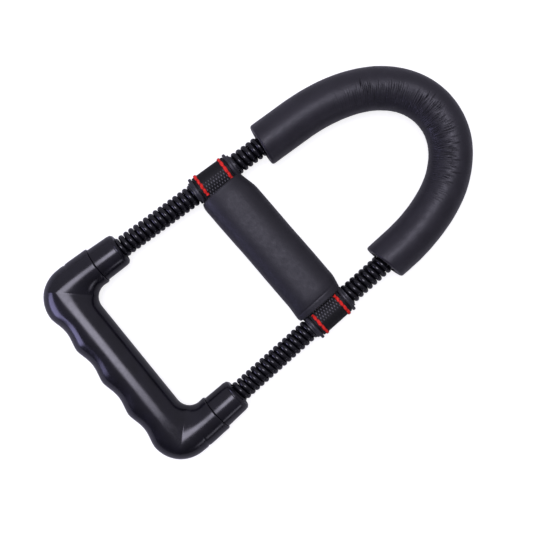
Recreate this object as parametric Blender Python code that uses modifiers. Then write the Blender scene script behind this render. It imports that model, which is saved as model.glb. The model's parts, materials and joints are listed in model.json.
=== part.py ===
"""Hand grip strengthener: two coil springs join a moulded handle to a padded forearm bar.

The tool lies flat. X runs along the handle, +Y from the handle to the top of the forearm bar, +Z up.
All axes lie in one plane, half a grip's thickness above the ground. The origin is on the ground.
Lengths are in metres.
"""

import math

import bmesh
import bpy
from mathutils import Matrix, Vector

MM = 0.001

# Driving dimensions: the plane of the axes and the two spring axes.
MID_Z = 15.0 * MM
COLLAR_FACE_Y = -84.5 * MM
SPRING_HALF_SPACING = 62.05 * MM
SPRING_LEAN = math.radians(2.83)

# Coil springs, wound nearly close. The bore is the one left by their faceted wire.
WIRE_RADIUS = 1.9 * MM
COIL_RADIUS = 5.5 * MM
COIL_GAP = 0.23 * MM
COIL_PITCH = 2 * WIRE_RADIUS + COIL_GAP
COIL_IN_COLLAR = 12.0 * MM
COIL_IN_BAR = 10.0 * MM
POINTS_PER_TURN = 8
WIRE_SIDES = 6
COIL_OUTER = COIL_RADIUS + WIRE_RADIUS
WIRE_FLAT = WIRE_RADIUS * math.cos(math.pi / WIRE_SIDES)
COIL_BORE_RADIUS = COIL_RADIUS * math.cos(math.pi / POINTS_PER_TURN) - WIRE_FLAT

# Forearm bar, a bent steel tube, and the foam sleeve on it.
BAR_END_Y = 50.0 * MM
BAR_STRAIGHT_Y = 56.0 * MM
BAR_APEX_Y = 135.1 * MM
BAR_LEG_HANDLE = 54.0 * MM
BAR_APEX_HANDLE = 27.0 * MM
BAR_WALL = 1.0 * MM
BAR_BORE_CLEARANCE = 0.35 * MM
PLUG_HEAD_LENGTH = 4.0 * MM
PLUG_HEAD_EASE = 0.4 * MM
FOAM_RADIUS = 15.0 * MM
FOAM_FIT = 0.3 * MM
FOAM_LEFT_END_Y = 31.0 * MM
FOAM_RIGHT_END_Y = 45.6 * MM
FOAM_LEFT_SLANT = math.radians(4.2)
FOAM_RIGHT_SLANT = math.radians(9.7)
FOAM_SIDES = 12

# Collars that seat the springs in the handle.
COLLAR_LENGTH = 19.0 * MM
COLLAR_TOP_RADIUS = 11.65 * MM
COLLAR_BASE_RADIUS = 12.15 * MM
COLLAR_LIP = 1.6 * MM
COLLAR_GROOVE_DEPTH = 0.35 * MM
COLLAR_SPIGOT_LENGTH = 9.0 * MM
COLLAR_BORE_CLEARANCE = 0.35 * MM

# Moulded handle: two arms and a grip bar with finger grooves, split along MID_Z.
ARM_RADIUS = 13.35 * MM
HANDLE_WALL = 2.4 * MM
OUTER_FLANK_INSET = 0.45 * MM
INNER_FLANK_INSET = 0.11 * MM
GRIP_INNER_Y = -118.6 * MM
GRIP_OUTER_Y = -150.1 * MM
GRIP_AXIS_Y = -134.0 * MM
GRIP_HALF_HEIGHT = 15.0 * MM
INNER_FILLET = 10.0 * MM
OUTER_CORNER = 23.0 * MM
FINGER_DEPTH = 2.3 * MM
FINGER_GROOVES_PER_SIDE = 2
FINGER_OVERREACH = 0.4 * MM
SHELL_GAP = 0.3 * MM
RIB_THICKNESS = 1.6 * MM
RIB_FOOT_CLEARANCE = 0.2 * MM
CORE_COIL_CLEARANCE = 0.136 * MM
CORE_RADIUS = COIL_BORE_RADIUS - CORE_COIL_CLEARANCE
CORE_BEND = 12.0 * MM
CORE_TIP_BELOW_FACE = 2.0 * MM
CORE_FIT = 0.4 * MM

# Spools that slide on the springs, and the webbing sewn round them.
LEFT_SPOOL_Y = -7.2 * MM
RIGHT_SPOOL_Y = -3.5 * MM
SPOOL_HALF_LENGTH = 15.0 * MM
SPOOL_FLANGE = 2.2 * MM
SPOOL_FLANGE_RISE = 0.9 * MM
SPOOL_WALL = 0.75 * MM
SPOOL_HUB_LENGTH = 1.4 * MM
SPOOL_HUB_WALL = 0.5 * MM
SPOOL_BORE_CLEARANCE = 0.25 * MM
WEB_WIDTH = 25.0 * MM
WEB_THICKNESS = 0.9 * MM
WEB_FIT = 0.2 * MM
WEB_TAIL_IN_PAD = 14.0 * MM
THREAD_RADIUS = 0.5 * MM
THREAD_ROW_SPACING = 19.3 * MM
THREAD_TO_PAD = 2.5 * MM

# Foam pad across the springs, with the strap that ties the two webbing loops together.
PAD_END_INSET = 7.637 * MM
PAD_WIDTH = 36.0 * MM
PAD_HEIGHT = 29.0 * MM
PAD_SPOOL_CLEARANCE = 1.1 * MM
PAD_BORE_WIDTH = 30.0 * MM
PAD_BORE_CLEARANCE = 0.5 * MM
PAD_SIDES = 20
PAD_SQUARENESS = 2.4

# Motion: how far the pad slides each way. The springs bend between its lowest place and the collars.
PAD_TRAVEL_DOWN = 12.0 * MM
PAD_TRAVEL_UP = 16.0 * MM

# Running gap between pieces that touch.
GAP = 0.3 * MM
TURNED_STEPS = 24
MERGE = 0.00001


def clear_scene():
    for item in list(bpy.data.objects):
        bpy.data.objects.remove(item, do_unlink=True)


def make_collection(name):
    collection = bpy.data.collections.new(name)
    bpy.context.scene.collection.children.link(collection)
    return collection


clear_scene()
PARTS = make_collection("hand_grip_strengthener")
CUTTERS = make_collection("cutters")


def make_material(name, color, roughness, metallic=0.0):
    material = bpy.data.materials.new(name)
    material.use_nodes = True
    shader = material.node_tree.nodes["Principled BSDF"]
    shader.inputs["Base Color"].default_value = (*color, 1.0)
    shader.inputs["Roughness"].default_value = roughness
    shader.inputs["Metallic"].default_value = metallic
    return material


BLACK_STEEL = make_material("black_spring_steel", (0.015, 0.015, 0.018), 0.25, 0.6)
BARE_STEEL = make_material("bare_steel", (0.45, 0.45, 0.47), 0.35, 1.0)
GLOSS_PLASTIC = make_material("gloss_black_plastic", (0.012, 0.012, 0.016), 0.12)
SATIN_PLASTIC = make_material("satin_black_plastic", (0.03, 0.03, 0.035), 0.4)
SLEEVE_FOAM = make_material("charcoal_foam", (0.035, 0.034, 0.042), 0.8)
WEBBING = make_material("black_webbing", (0.02, 0.02, 0.022), 0.75)
RED_THREAD = make_material("red_thread", (0.6, 0.02, 0.015), 0.6)


def place(item, material, matrix=None, anchor=None):
    """Links a finished piece at its place in the world, under the empty that it moves with."""
    PARTS.objects.link(item)
    item.data.materials.clear()
    item.data.materials.append(material)
    if matrix is not None:
        item.matrix_basis = matrix
    if anchor is not None:
        item.parent = anchor
        item.matrix_parent_inverse = anchor.matrix_basis.inverted()
    return item


def shade(item, angle=math.radians(35)):
    item.data.shade_smooth()
    item.data.set_sharp_from_angle(angle=angle)


def spring_half_spacing(y):
    """Distance from the middle of the tool to a spring's axis at height y."""
    return SPRING_HALF_SPACING - (y - COLLAR_FACE_Y) * math.tan(SPRING_LEAN)


HANDLE_HALF_WIDTH = spring_half_spacing(GRIP_AXIS_Y) + ARM_RADIUS - OUTER_FLANK_INSET
INNER_CORNER_X = spring_half_spacing(GRIP_INNER_Y + INNER_FILLET) - ARM_RADIUS + INNER_FLANK_INSET
FINGER_PITCH = (HANDLE_HALF_WIDTH - OUTER_CORNER + FINGER_OVERREACH) / FINGER_GROOVES_PER_SIDE
SPOOL_BODY_RADIUS = COIL_OUTER + SPOOL_BORE_CLEARANCE + SPOOL_WALL
SPOOL_HUB_RADIUS = COIL_OUTER + SPOOL_BORE_CLEARANCE + SPOOL_HUB_WALL
SPOOL_FLANGE_RADIUS = SPOOL_BODY_RADIUS + WEB_FIT + WEB_THICKNESS + SPOOL_FLANGE_RISE
PAD_CENTRE_Y = (LEFT_SPOOL_Y + RIGHT_SPOOL_Y) / 2
PAD_LENGTH = 2 * (spring_half_spacing(PAD_CENTRE_Y) - PAD_END_INSET)


def along_spring(y):
    """Distance from the collar's face to height y, measured on the spring's axis."""
    return (y - COLLAR_FACE_Y) / math.cos(SPRING_LEAN)


def spring_frame(side, distance=0.0):
    """Frame on a spring's axis: local +Z up the spring, local +X outwards, side is -1 or +1."""
    up = Vector((-side * math.sin(SPRING_LEAN), math.cos(SPRING_LEAN), 0))
    out = Vector((side * math.cos(SPRING_LEAN), math.sin(SPRING_LEAN), 0))
    face = Vector((side * SPRING_HALF_SPACING, COLLAR_FACE_Y, MID_Z))
    spot = face + up * distance
    third = up.cross(out)
    rows = [(out[i], third[i], up[i], spot[i]) for i in range(3)]
    return Matrix(rows + [(0, 0, 0, 1)])


def make_anchor(name, matrix):
    """Empty that stands on a joint's axis and carries the pieces that move with it."""
    anchor = bpy.data.objects.new(name, None)
    anchor.empty_display_size = 10.0 * MM
    anchor.matrix_basis = matrix
    PARTS.objects.link(anchor)
    return anchor


def turned(name, profile, steps=TURNED_STEPS, closed=True):
    """Solid of revolution about local Z from (radius, height) points, closed or ending on the axis."""
    mesh = bpy.data.meshes.new(name)
    points = [(radius, 0, height) for radius, height in profile]
    edges = [(i, i + 1) for i in range(len(points) - 1)]
    if closed:
        edges.append((len(points) - 1, 0))
    mesh.from_pydata(points, edges, [])
    item = bpy.data.objects.new(name, mesh)
    screw = item.modifiers.new("turn", "SCREW")
    screw.steps = steps
    screw.render_steps = steps
    screw.use_merge_vertices = True
    screw.merge_threshold = MERGE
    return item


def tube_curve(name, points, radius, sides=8, tilt=0.0, capped=True):
    """Round bar along a list of points, with a given number of sides."""
    curve = bpy.data.curves.new(name, "CURVE")
    curve.dimensions = "3D"
    curve.twist_mode = "Z_UP"
    curve.bevel_depth = radius
    curve.bevel_resolution = (sides - 4) // 2
    curve.use_fill_caps = capped
    spline = curve.splines.new("POLY")
    spline.points.add(len(points) - 1)
    for point, spot in zip(spline.points, points):
        point.co = (*spot, 1.0)
        point.tilt = tilt
    return bpy.data.objects.new(name, curve)


def as_mesh(curve_item):
    """Turns a curve object, with its modifiers, into a mesh object with welded caps."""
    bpy.context.scene.collection.objects.link(curve_item)
    bpy.context.view_layer.update()
    graph = bpy.context.evaluated_depsgraph_get()
    mesh = bpy.data.meshes.new_from_object(curve_item.evaluated_get(graph))
    work = bmesh.new()
    work.from_mesh(mesh)
    bmesh.ops.remove_doubles(work, verts=work.verts, dist=MERGE)
    bmesh.ops.recalc_face_normals(work, faces=work.faces)
    work.to_mesh(mesh)
    work.free()
    name = curve_item.name
    matrix = curve_item.matrix_world.copy()
    bpy.data.objects.remove(curve_item, do_unlink=True)
    item = bpy.data.objects.new(name, mesh)
    item.matrix_world = matrix
    return item


def flat_plate(name, outlines, half_thickness):
    """Plate in the local XY plane from one outline, or an outline and its holes."""
    curve = bpy.data.curves.new(name, "CURVE")
    curve.dimensions = "2D"
    curve.fill_mode = "BOTH"
    curve.extrude = half_thickness
    for outline in outlines:
        spline = curve.splines.new("POLY")
        spline.points.add(len(outline) - 1)
        spline.use_cyclic_u = True
        for point, (x, y) in zip(spline.points, outline):
            point.co = (x, y, 0, 1.0)
    return as_mesh(bpy.data.objects.new(name, curve))


def make_cutter(item):
    CUTTERS.objects.link(item)
    item.hide_render = True
    item.display_type = "WIRE"
    return item


def boolean(item, other, operation, name):
    step = item.modifiers.new(name, "BOOLEAN")
    step.operation = operation
    step.solver = "EXACT"
    step.object = other


# ---- forearm bar, its foam sleeve and the plugs that hold the springs in it ----

BAR_RADIUS = COIL_OUTER + BAR_BORE_CLEARANCE + BAR_WALL
BAR_START = along_spring(BAR_END_Y)
COIL_TOP = BAR_START + COIL_IN_BAR
BAR_CURVE_STEPS = 10
BAR_SIDES = 12


def bezier(points, share):
    a, b, c, d = points
    rest = 1 - share
    return a * rest**3 + b * 3 * rest**2 * share + c * 3 * rest * share**2 + d * share**3


def bar_quarter():
    """Half of the bend on the +X side, from the straight leg to the apex."""
    start = Vector((spring_half_spacing(BAR_STRAIGHT_Y), BAR_STRAIGHT_Y, MID_Z))
    up = Vector((-math.sin(SPRING_LEAN), math.cos(SPRING_LEAN), 0))
    apex = Vector((0, BAR_APEX_Y, MID_Z))
    corners = (start, start + up * BAR_LEG_HANDLE, apex + Vector((BAR_APEX_HANDLE, 0, 0)), apex)
    return [bezier(corners, i / BAR_CURVE_STEPS) for i in range(BAR_CURVE_STEPS + 1)]


def leg_point(side, y):
    return Vector((side * spring_half_spacing(y), y, MID_Z))


def bar_path(left_y, right_y):
    """Centre line of the bend, with its two legs carried down to the given heights."""
    right = bar_quarter()
    left = [Vector((-p.x, p.y, p.z)) for p in right]
    return [leg_point(-1, left_y)] + left + right[-2::-1] + [leg_point(1, right_y)]


def hollow_bend(name, path, radius, wall, sides):
    """Tube along a path: its faces, not its corners, are at the given radius."""
    half_side = math.pi / sides
    item = tube_curve(name, path, radius / math.cos(half_side), sides, half_side, capped=False)
    solid = item.modifiers.new("wall", "SOLIDIFY")
    solid.thickness = wall
    solid.offset = -1.0
    solid.use_even_offset = True
    return as_mesh(item)


def make_forearm_bar():
    bar = hollow_bend("forearm_bar", bar_path(BAR_END_Y, BAR_END_Y), BAR_RADIUS, BAR_WALL, BAR_SIDES)
    shade(place(bar, BARE_STEEL))


def slant_cutter(name, side, end_y, slant):
    """Block that trims the sleeve's end to a slanted face, lower on its inner side."""
    size = 4 * FOAM_RADIUS
    mesh = bpy.data.meshes.new(name)
    work = bmesh.new()
    bmesh.ops.create_cube(work, size=size)
    work.to_mesh(mesh)
    work.free()
    block = bpy.data.objects.new(name, mesh)
    frame = spring_frame(side, along_spring(end_y))
    turn = Matrix.Rotation(-slant, 4, "Y")
    block.matrix_basis = frame @ turn @ Matrix.Translation((0, 0, -size / 2))
    return make_cutter(block)


def make_foam_sleeve():
    spare = FOAM_RADIUS * math.tan(FOAM_RIGHT_SLANT) + GAP
    path = bar_path(FOAM_LEFT_END_Y - spare, FOAM_RIGHT_END_Y - spare)
    wall = FOAM_RADIUS - BAR_RADIUS - FOAM_FIT
    sleeve = hollow_bend("forearm_foam_sleeve", path, FOAM_RADIUS, wall, FOAM_SIDES)
    ends = ((-1, FOAM_LEFT_END_Y, FOAM_LEFT_SLANT), (1, FOAM_RIGHT_END_Y, FOAM_RIGHT_SLANT))
    for side, end_y, slant in ends:
        cutter = slant_cutter(f"sleeve_end_cutter_{side}", side, end_y, slant)
        boolean(sleeve, cutter, "DIFFERENCE", "trim_end")
    shade(place(sleeve, SLEEVE_FOAM))


def make_bar_plug(name, side):
    """Stepped plug in the bar: its pin fills the spring's bore, its head sits behind the last coil."""
    head_radius = COIL_OUTER - PLUG_HEAD_EASE
    shoulder = COIL_TOP + WIRE_RADIUS + GAP
    top = shoulder + PLUG_HEAD_LENGTH
    tip = BAR_START - COIL_PITCH
    profile = [(0, top), (head_radius, top), (head_radius, shoulder)]
    profile += [(CORE_RADIUS, shoulder), (CORE_RADIUS, tip), (0, tip)]
    plug = turned(name, profile, closed=False)
    shade(place(plug, BARE_STEEL, spring_frame(side)))


# ---- springs ----

def make_spring(name, side, anchor):
    """Plain coil from inside the collar to inside the forearm bar."""
    low = -COIL_IN_COLLAR
    turns = (COIL_TOP - low) / COIL_PITCH
    count = int(turns * POINTS_PER_TURN)
    points = []
    for i in range(count + 1):
        angle = 2 * math.pi * i / POINTS_PER_TURN
        height = low + COIL_PITCH * i / POINTS_PER_TURN
        points.append((COIL_RADIUS * math.cos(angle), COIL_RADIUS * math.sin(angle), height))
    coil = as_mesh(tube_curve(name, points, WIRE_RADIUS, WIRE_SIDES))
    coil.data.shade_smooth()
    place(coil, BLACK_STEEL, spring_frame(side), anchor)


# ---- handle: collars, core rod and two grip shells ----

def make_collar(name, side, anchor):
    """Ferrule with a chamfered lip above the handle and a spigot inside the arm."""
    bore = COIL_OUTER + COLLAR_BORE_CLEARANCE
    seat = -(COIL_IN_COLLAR + WIRE_RADIUS + GAP)
    core_bore = CORE_RADIUS + CORE_FIT
    spigot = ARM_RADIUS - HANDLE_WALL - GAP
    base = -(COLLAR_LENGTH + COLLAR_SPIGOT_LENGTH)
    groove = COLLAR_TOP_RADIUS - COLLAR_GROOVE_DEPTH
    profile = [
        (bore, 0),
        (COLLAR_TOP_RADIUS - COLLAR_LIP, 0),
        (COLLAR_TOP_RADIUS - GAP, -COLLAR_LIP + GAP),
        (groove, -COLLAR_LIP - GAP),
        (COLLAR_TOP_RADIUS, -2 * COLLAR_LIP),
        (COLLAR_BASE_RADIUS, -COLLAR_LENGTH),
        (spigot, -COLLAR_LENGTH),
        (spigot, base),
        (core_bore, base),
        (core_bore, seat),
        (bore, seat),
    ]
    collar = turned(name, profile)
    shade(place(collar, GLOSS_PLASTIC, spring_frame(side), anchor))


CORNER_STEPS = 10
GRIP_STEPS = 12
SECTION_STEPS = 7
FINGER_ROUNDNESS = 0.8
NOTCH_STEPS = 6
CORE_BEND_STEPS = 5
CORE_BEND_PULL = 0.55


def finger_wave(x):
    """Depth of the finger grooves at x: wide hollows between narrower rounded peaks."""
    reach = FINGER_GROOVES_PER_SIDE * FINGER_PITCH
    if abs(x) >= reach:
        return 0.0
    wave = 0.5 - 0.5 * math.cos(2 * math.pi * x / FINGER_PITCH)
    return FINGER_DEPTH * wave**FINGER_ROUNDNESS


def corner_outline(share):
    """Point on the handle's outer outline, from the arm (0) round the corner to the grip (1)."""
    top_y = GRIP_INNER_Y + INNER_FILLET
    centre = Vector((HANDLE_HALF_WIDTH - OUTER_CORNER, GRIP_OUTER_Y + OUTER_CORNER))
    low_x = INNER_CORNER_X - INNER_FILLET
    down = top_y - centre.y
    bend = OUTER_CORNER * math.pi / 2
    across = centre.x - low_x
    travel = share * (down + bend + across)
    if travel < down:
        bulge = HANDLE_HALF_WIDTH - spring_half_spacing(top_y) - ARM_RADIUS
        widen = bulge * (1 - travel / down) ** 2
        return Vector((HANDLE_HALF_WIDTH - widen, top_y - travel))
    if travel < down + bend:
        angle = (travel - down) / OUTER_CORNER
        return centre + OUTER_CORNER * Vector((math.cos(angle), -math.sin(angle)))
    x = centre.x - (travel - down - bend)
    return Vector((x, GRIP_OUTER_Y + finger_wave(x)))


def corner_section(share):
    """Inner point, ridge, outer point and half height of a section round the corner."""
    centre = Vector((INNER_CORNER_X - INNER_FILLET, GRIP_INNER_Y + INNER_FILLET))
    angle = share * math.pi / 2
    inner = centre + INNER_FILLET * Vector((math.cos(angle), -math.sin(angle)))
    start = Vector((spring_half_spacing(centre.y), centre.y))
    cross = Vector((spring_half_spacing(GRIP_AXIS_Y), GRIP_AXIS_Y))
    end = Vector((centre.x, GRIP_AXIS_Y))
    ridge = start.lerp(cross, 2 * share) if share < 0.5 else cross.lerp(end, 2 * share - 1)
    ease = share * share * (3 - 2 * share)
    height = ARM_RADIUS + (GRIP_HALF_HEIGHT - ARM_RADIUS) * ease
    return inner, ridge, corner_outline(share), height


def handle_sections():
    """Sections of the +X half of the handle, from the collar to the middle of the grip."""
    frame = spring_frame(1, -(COLLAR_LENGTH + GAP))
    spot = frame.translation.xy
    out = frame.col[0].xy
    sections = [(spot - out * ARM_RADIUS, spot, spot + out * ARM_RADIUS, ARM_RADIUS)]
    sections += [corner_section(i / CORNER_STEPS) for i in range(CORNER_STEPS + 1)]
    low_x = INNER_CORNER_X - INNER_FILLET
    for i in range(1, GRIP_STEPS + 1):
        x = low_x * (1 - i / GRIP_STEPS)
        outer = Vector((x, GRIP_OUTER_Y + finger_wave(x)))
        sections.append((Vector((x, GRIP_INNER_Y)), Vector((x, GRIP_AXIS_Y)), outer, GRIP_HALF_HEIGHT))
    return sections


def section_ring(section, inset_outer, inset_inner, level):
    """Closed ring of one wall section: out along its outer face, back along its inner face."""
    inner, ridge, outer, height = section
    turn = math.pi / SECTION_STEPS
    flat = math.cos(turn / 2)
    ring = []
    out = range(SECTION_STEPS + 1)
    for inset, order in ((inset_outer, out), (inset_inner, reversed(out))):
        for k in order:
            angle = -math.pi / 2 + k * turn
            edge = inner if angle < 0 else outer
            arm = edge - ridge
            spot = ridge + arm * (1 - inset / arm.length) * abs(math.sin(angle))
            rise = (height - inset - level) * math.cos(angle) / flat
            ring.append(Vector((spot.x, spot.y, level + max(rise, 0.0))))
    return ring


def loft(name, rings, cap_first, cap_last):
    """Skin through closed rings of equal length; a cap joins a ring's outer and inner halves."""
    work = bmesh.new()
    rows = [[work.verts.new(p) for p in ring] for ring in rings]
    count = len(rings[0])
    for row, following in zip(rows, rows[1:]):
        for k in range(count):
            n = (k + 1) % count
            work.faces.new((row[k], row[n], following[n], following[k]))
    half = count // 2
    for row, wanted in ((rows[0], cap_first), (rows[-1], cap_last)):
        if wanted:
            for k in range(half - 1):
                work.faces.new((row[k], row[k + 1], row[count - 2 - k], row[count - 1 - k]))
    bmesh.ops.recalc_face_normals(work, faces=work.faces)
    mesh = bpy.data.meshes.new(name)
    work.to_mesh(mesh)
    work.free()
    return bpy.data.objects.new(name, mesh)


def rib_outline(section):
    """Outline of a rib that fills the shell's hollow down to the core rod, in (y, z).

    Its foot stops short of the parting face, so that the two shells meet on their rims only.
    """
    inset = HANDLE_WALL / 2
    foot = SHELL_GAP / 2 + RIB_FOOT_CLEARANCE
    ring = section_ring(section, inset, inset, foot)
    outline = [(p.y, p.z) for p in ring[: SECTION_STEPS + 1]]
    notch = CORE_RADIUS + CORE_FIT
    side = 1 if outline[-1][0] > GRIP_AXIS_Y else -1
    for k in range(NOTCH_STEPS + 1):
        angle = math.pi * k / NOTCH_STEPS
        y = GRIP_AXIS_Y + side * notch * math.cos(angle)
        outline.append((y, foot + notch * math.sin(angle)))
    return outline


def make_rib(name, x):
    outer = Vector((x, GRIP_OUTER_Y + finger_wave(x)))
    section = (Vector((x, GRIP_INNER_Y)), Vector((x, GRIP_AXIS_Y)), outer, GRIP_HALF_HEIGHT)
    rib = flat_plate(name, [rib_outline(section)], RIB_THICKNESS / 2)
    rows = [(0, 0, 1, x), (1, 0, 0, 0), (0, 1, 0, 0), (0, 0, 0, 1)]
    rib.matrix_basis = Matrix(rows)
    return rib


def make_grip_shell(name, facing, anchor):
    """One half of the handle: facing is +1 for the front half and -1 for the back half."""
    rings = [section_ring(s, 0.0, HANDLE_WALL, SHELL_GAP / 2) for s in handle_sections()]
    shell = loft(name, rings, cap_first=True, cap_last=False)
    mirror = shell.modifiers.new("other_arm", "MIRROR")
    mirror.use_axis = (True, False, False)
    mirror.merge_threshold = MERGE
    half = Matrix.Translation((0, 0, MID_Z))
    if facing < 0:
        half = half @ Matrix.Rotation(math.pi, 4, "Y")
    for i, x in enumerate((-FINGER_PITCH, 0.0, FINGER_PITCH)):
        rib = make_rib(f"{name}_rib_{i}", x)
        rib.matrix_basis = half @ rib.matrix_basis
        boolean(shell, make_cutter(rib), "UNION", f"rib_{i}")
    shade(place(shell, GLOSS_PLASTIC, half, anchor))


def core_path():
    """Centre line of the steel core: up each arm on the spring's axis, and along the grip."""
    tip = spring_frame(1, -CORE_TIP_BELOW_FACE).translation
    corner = Vector((spring_half_spacing(GRIP_AXIS_Y), GRIP_AXIS_Y, MID_Z))
    up = (tip - corner).normalized()
    across = Vector((-1, 0, 0))
    turn = up.angle(across)
    reach = CORE_BEND / math.tan(turn / 2)
    first = corner + up * reach
    last = corner + across * reach
    pulls = (first, first.lerp(corner, CORE_BEND_PULL), last.lerp(corner, CORE_BEND_PULL), last)
    bend = [bezier(pulls, i / CORE_BEND_STEPS) for i in range(CORE_BEND_STEPS + 1)]
    right = [tip] + bend
    left = [Vector((-p.x, p.y, p.z)) for p in reversed(right)]
    return right + left


def make_core_rod(name, anchor):
    rod = as_mesh(tube_curve(name, core_path(), CORE_RADIUS, sides=8))
    shade(place(rod, BARE_STEEL, anchor=anchor))


# ---- spools, webbing loops, strap and pad ----

def make_spool(name, matrix, anchor):
    bore = COIL_OUTER + SPOOL_BORE_CLEARANCE
    half = SPOOL_HALF_LENGTH
    hub = half + SPOOL_HUB_LENGTH
    right_side = [
        (SPOOL_HUB_RADIUS - GAP, hub),
        (SPOOL_HUB_RADIUS, hub - GAP),
        (SPOOL_HUB_RADIUS, half),
        (SPOOL_FLANGE_RADIUS - GAP, half),
        (SPOOL_FLANGE_RADIUS, half - SPOOL_FLANGE / 2),
        (SPOOL_FLANGE_RADIUS - GAP, half - SPOOL_FLANGE),
        (SPOOL_BODY_RADIUS, half - SPOOL_FLANGE),
    ]
    lower = [(radius, -height) for radius, height in reversed(right_side)]
    profile = right_side + lower + [(bore, -hub), (bore, hub)]
    spool = turned(name, profile)
    shade(place(spool, SATIN_PLASTIC, matrix, anchor))


WEB_CENTRE_RADIUS = SPOOL_BODY_RADIUS + WEB_FIT + WEB_THICKNESS / 2
STRAP_HALF_STACK = WEB_THICKNESS + GAP
WEB_WRAP_STEPS = 14


def web_path(tail):
    """Centre line of the webbing across the spring: in along one layer, round the spool, and out."""
    pinch = Vector((-tail, STRAP_HALF_STACK))
    reach = pinch.length
    lean = math.acos(WEB_CENTRE_RADIUS / reach) - math.atan2(pinch.y, tail)
    start = math.pi - lean
    points = []
    for i in range(WEB_WRAP_STEPS + 1):
        angle = start - 2 * start * i / WEB_WRAP_STEPS
        points.append(WEB_CENTRE_RADIUS * Vector((math.cos(angle), math.sin(angle))))
    return [pinch] + points + [Vector((pinch.x, -pinch.y))]


def offset_path(points, distance):
    """Path moved sideways by a distance, with mitred corners."""
    moved = []
    for i, point in enumerate(points):
        before = (point - points[i - 1]).normalized() if i else None
        after = (points[i + 1] - point).normalized() if i + 1 < len(points) else None
        before = before or after
        after = after or before
        along = (before + after).normalized()
        normal = Vector((-along.y, along.x))
        moved.append(point + normal * distance / max(along.dot(after), 0.5))
    return moved


def tail_length(y):
    """Reach of a webbing tail, from the spring's axis to its end inside the pad."""
    return spring_half_spacing(y) - PAD_LENGTH / 2 + WEB_TAIL_IN_PAD


def webbing_height(x):
    """Half height of the webbing's two layers where they enter the pad's end at x."""
    y = min(LEFT_SPOOL_Y, RIGHT_SPOOL_Y)
    path = web_path(tail_length(y))
    reach = spring_half_spacing(y) - x
    share = (reach + path[1].x) / (path[1].x - path[0].x)
    return path[1].lerp(path[0], share).y + WEB_THICKNESS


def make_webbing(name, y, matrix, anchor):
    """Webbing loop: its two layers run from the spool into the pad's bore."""
    path = web_path(tail_length(y))
    outline = offset_path(path, WEB_THICKNESS / 2)
    outline += reversed(offset_path(path, -WEB_THICKNESS / 2))
    loop = flat_plate(name, [outline], WEB_WIDTH / 2)
    shade(place(loop, WEBBING, matrix, anchor))


def make_stitch_row(name, y, row, matrix, anchor):
    """Thread sewn round the webbing loop along one of its edges: row is -1 or +1."""
    lift = WEB_THICKNESS / 2 + THREAD_RADIUS + GAP / 2
    route = offset_path(web_path(tail_length(y)), lift)
    limit = PAD_LENGTH / 2 + THREAD_TO_PAD - spring_half_spacing(y)
    share = (limit - route[0].x) / (route[1].x - route[0].x)
    start = route[0].lerp(route[1], share)
    height = row * THREAD_ROW_SPACING / 2
    spots = [start] + route[1:-1] + [Vector((start.x, -start.y))]
    thread = tube_curve(name, [(p.x, p.y, height) for p in spots], THREAD_RADIUS, sides=6)
    shade(place(as_mesh(thread), RED_THREAD, matrix, anchor))


PAD_CENTRE = Vector((0, PAD_CENTRE_Y, MID_Z))
PAD_TURN = math.atan2(RIGHT_SPOOL_Y - LEFT_SPOOL_Y, 2 * spring_half_spacing(PAD_CENTRE_Y))
ROOM_SIDES = 24


def pad_frame():
    """Frame of the pad: local +Z runs along the pad from left to right."""
    turn = Matrix.Translation(PAD_CENTRE) @ Matrix.Rotation(PAD_TURN, 4, "Z")
    rows = [(0, 0, 1, 0), (1, 0, 0, 0), (0, 1, 0, 0), (0, 0, 0, 1)]
    return turn @ Matrix(rows)


def oval(half_width, half_height, sides, power):
    """Oval outline with flats at its four ends; a higher power makes it squarer."""
    outline = []
    for k in range(sides):
        angle = 2 * math.pi * (k + 0.5) / sides
        across = math.copysign(abs(math.cos(angle)) ** (2 / power), math.cos(angle))
        rise = math.copysign(abs(math.sin(angle)) ** (2 / power), math.sin(angle))
        outline.append((across, rise))
    wide = max(x for x, _ in outline)
    high = max(z for _, z in outline)
    return [(half_width * x / wide, half_height * z / high) for x, z in outline]


def spool_room_cutter(name, side, y):
    """Cylinder round a spring that leaves the spool room as it slides."""
    mesh = bpy.data.meshes.new(name)
    work = bmesh.new()
    radius = SPOOL_FLANGE_RADIUS + PAD_SPOOL_CLEARANCE
    bmesh.ops.create_cone(
        work, cap_ends=True, segments=ROOM_SIDES, radius1=radius, radius2=radius, depth=2 * PAD_WIDTH
    )
    work.to_mesh(mesh)
    work.free()
    cutter = bpy.data.objects.new(name, mesh)
    cutter.matrix_basis = spring_frame(side, along_spring(y))
    return make_cutter(cutter)


def make_pad(name, anchor):
    """Foam pad: a rounded sleeve whose flat bore takes the webbing's tails and the strap."""
    half_height = webbing_height(PAD_LENGTH / 2) + PAD_BORE_CLEARANCE
    half_width = PAD_BORE_WIDTH / 2
    bore = [
        (half_width, half_height),
        (-half_width, half_height),
        (-half_width, -half_height),
        (half_width, -half_height),
    ]
    outline = oval(PAD_WIDTH / 2, PAD_HEIGHT / 2, PAD_SIDES, PAD_SQUARENESS)
    pad = flat_plate(name, [outline, bore], PAD_LENGTH / 2)
    place(pad, SLEEVE_FOAM, pad_frame(), anchor)
    for side, y in ((-1, LEFT_SPOOL_Y), (1, RIGHT_SPOOL_Y)):
        cutter = spool_room_cutter(f"spool_room_cutter_{side}", side, y)
        boolean(pad, cutter, "DIFFERENCE", "spool_room")
    shade(pad)


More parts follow.
